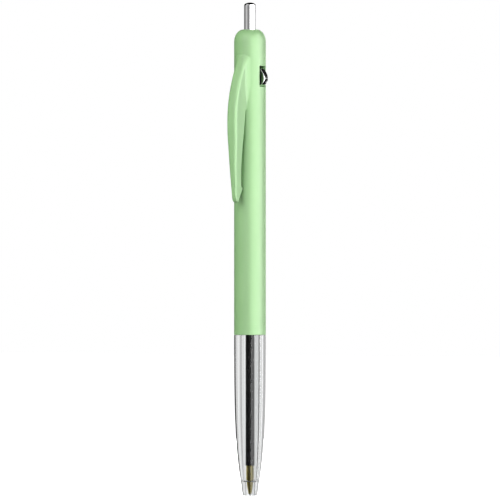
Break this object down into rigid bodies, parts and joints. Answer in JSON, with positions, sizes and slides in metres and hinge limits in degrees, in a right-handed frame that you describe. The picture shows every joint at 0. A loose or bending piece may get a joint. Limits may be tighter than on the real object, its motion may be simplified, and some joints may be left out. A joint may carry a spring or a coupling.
{
  "type": "click pen with side release",
  "caption": "Slim retractable ballpoint pen: push button on top, steel release latch in a side window, moulded pocket clip, clear screw-in front barrel and a sprung plunger with its refill.",
  "frame": {"origin": "on the pen's long axis, at the height of the centroid of its solids, where it balances", "axes": "+Z along the pen from its nose to its push button; the clip is on the -X side and the release window on the -Y side"},
  "size_m": [0.0147, 0.0102, 0.142],
  "materials": {
    "green_plastic": "pastel green, smooth, soft gloss",
    "black_plastic": "black, moulded, satin",
    "clear_plastic": "clear, polished",
    "chrome": "bright chrome plate",
    "latch_steel": "bright rolled strip",
    "pin_steel": "bright drawn wire",
    "spring_steel": "bright drawn wire",
    "refill_plastic": "dark, glossy",
    "plug_plastic": "natural white, satin",
    "brass": "turned, bright",
    "ink": "black paste",
    "carbide": "ground, dark grey"
  },
  "bodies": {
    "barrel": {"upper_barrel": "green_plastic", "guide_sleeve": "black_plastic", "latch_pin": "pin_steel", "return_spring": "spring_steel"},
    "plunger": {"plunger": "black_plastic", "push_button": "chrome", "refill_tube": "refill_plastic", "ink_column": "ink", "refill_plug": "plug_plastic", "tip_holder": "brass"},
    "latch": {"release_latch": "latch_steel"},
    "ball": {"writing_ball": "carbide"},
    "seat": {"spring_seat": "black_plastic"},
    "front": {"front_barrel": "clear_plastic", "nose_cone": "clear_plastic"}
  },
  "joints": [
    {"name": "plunger_slide", "type": "slide", "parent": "barrel", "child": "plunger", "axis": [0, 0, 1], "range_m": [-0.0042, 0], "stiffness_N_per_m": 200, "springref_m": 0.006, "deforming": ["return_spring"]},
    {"name": "release_latch_rock", "type": "hinge", "parent": "barrel", "child": "latch", "pos_m": [0, -0.0024, 0.0418], "axis": [-1, 0, 0], "range_deg": [0, 7], "stiffness_Nm_per_rad": 0.01, "springref_deg": -2.86},
    {"name": "writing_ball_roll", "type": "hinge", "parent": "plunger", "child": "ball", "pos_m": [0, 0, -0.07455], "axis": [1, 0, 0], "continuous": true},
    {"name": "front_barrel_advance", "type": "slide", "parent": "barrel", "child": "seat", "axis": [0, 0, 1], "range_m": [-0.0075, 0]},
    {"name": "front_barrel_twist", "type": "hinge", "parent": "seat", "child": "front", "pos_m": [0, 0, -0.0292], "axis": [0, 0, 1], "range_deg": [-1801, 0]}
  ],
  "couplings": [
    {"joint": "front_barrel_twist", "follows": "front_barrel_advance", "rad_per_m": 4188.8}
  ]
}
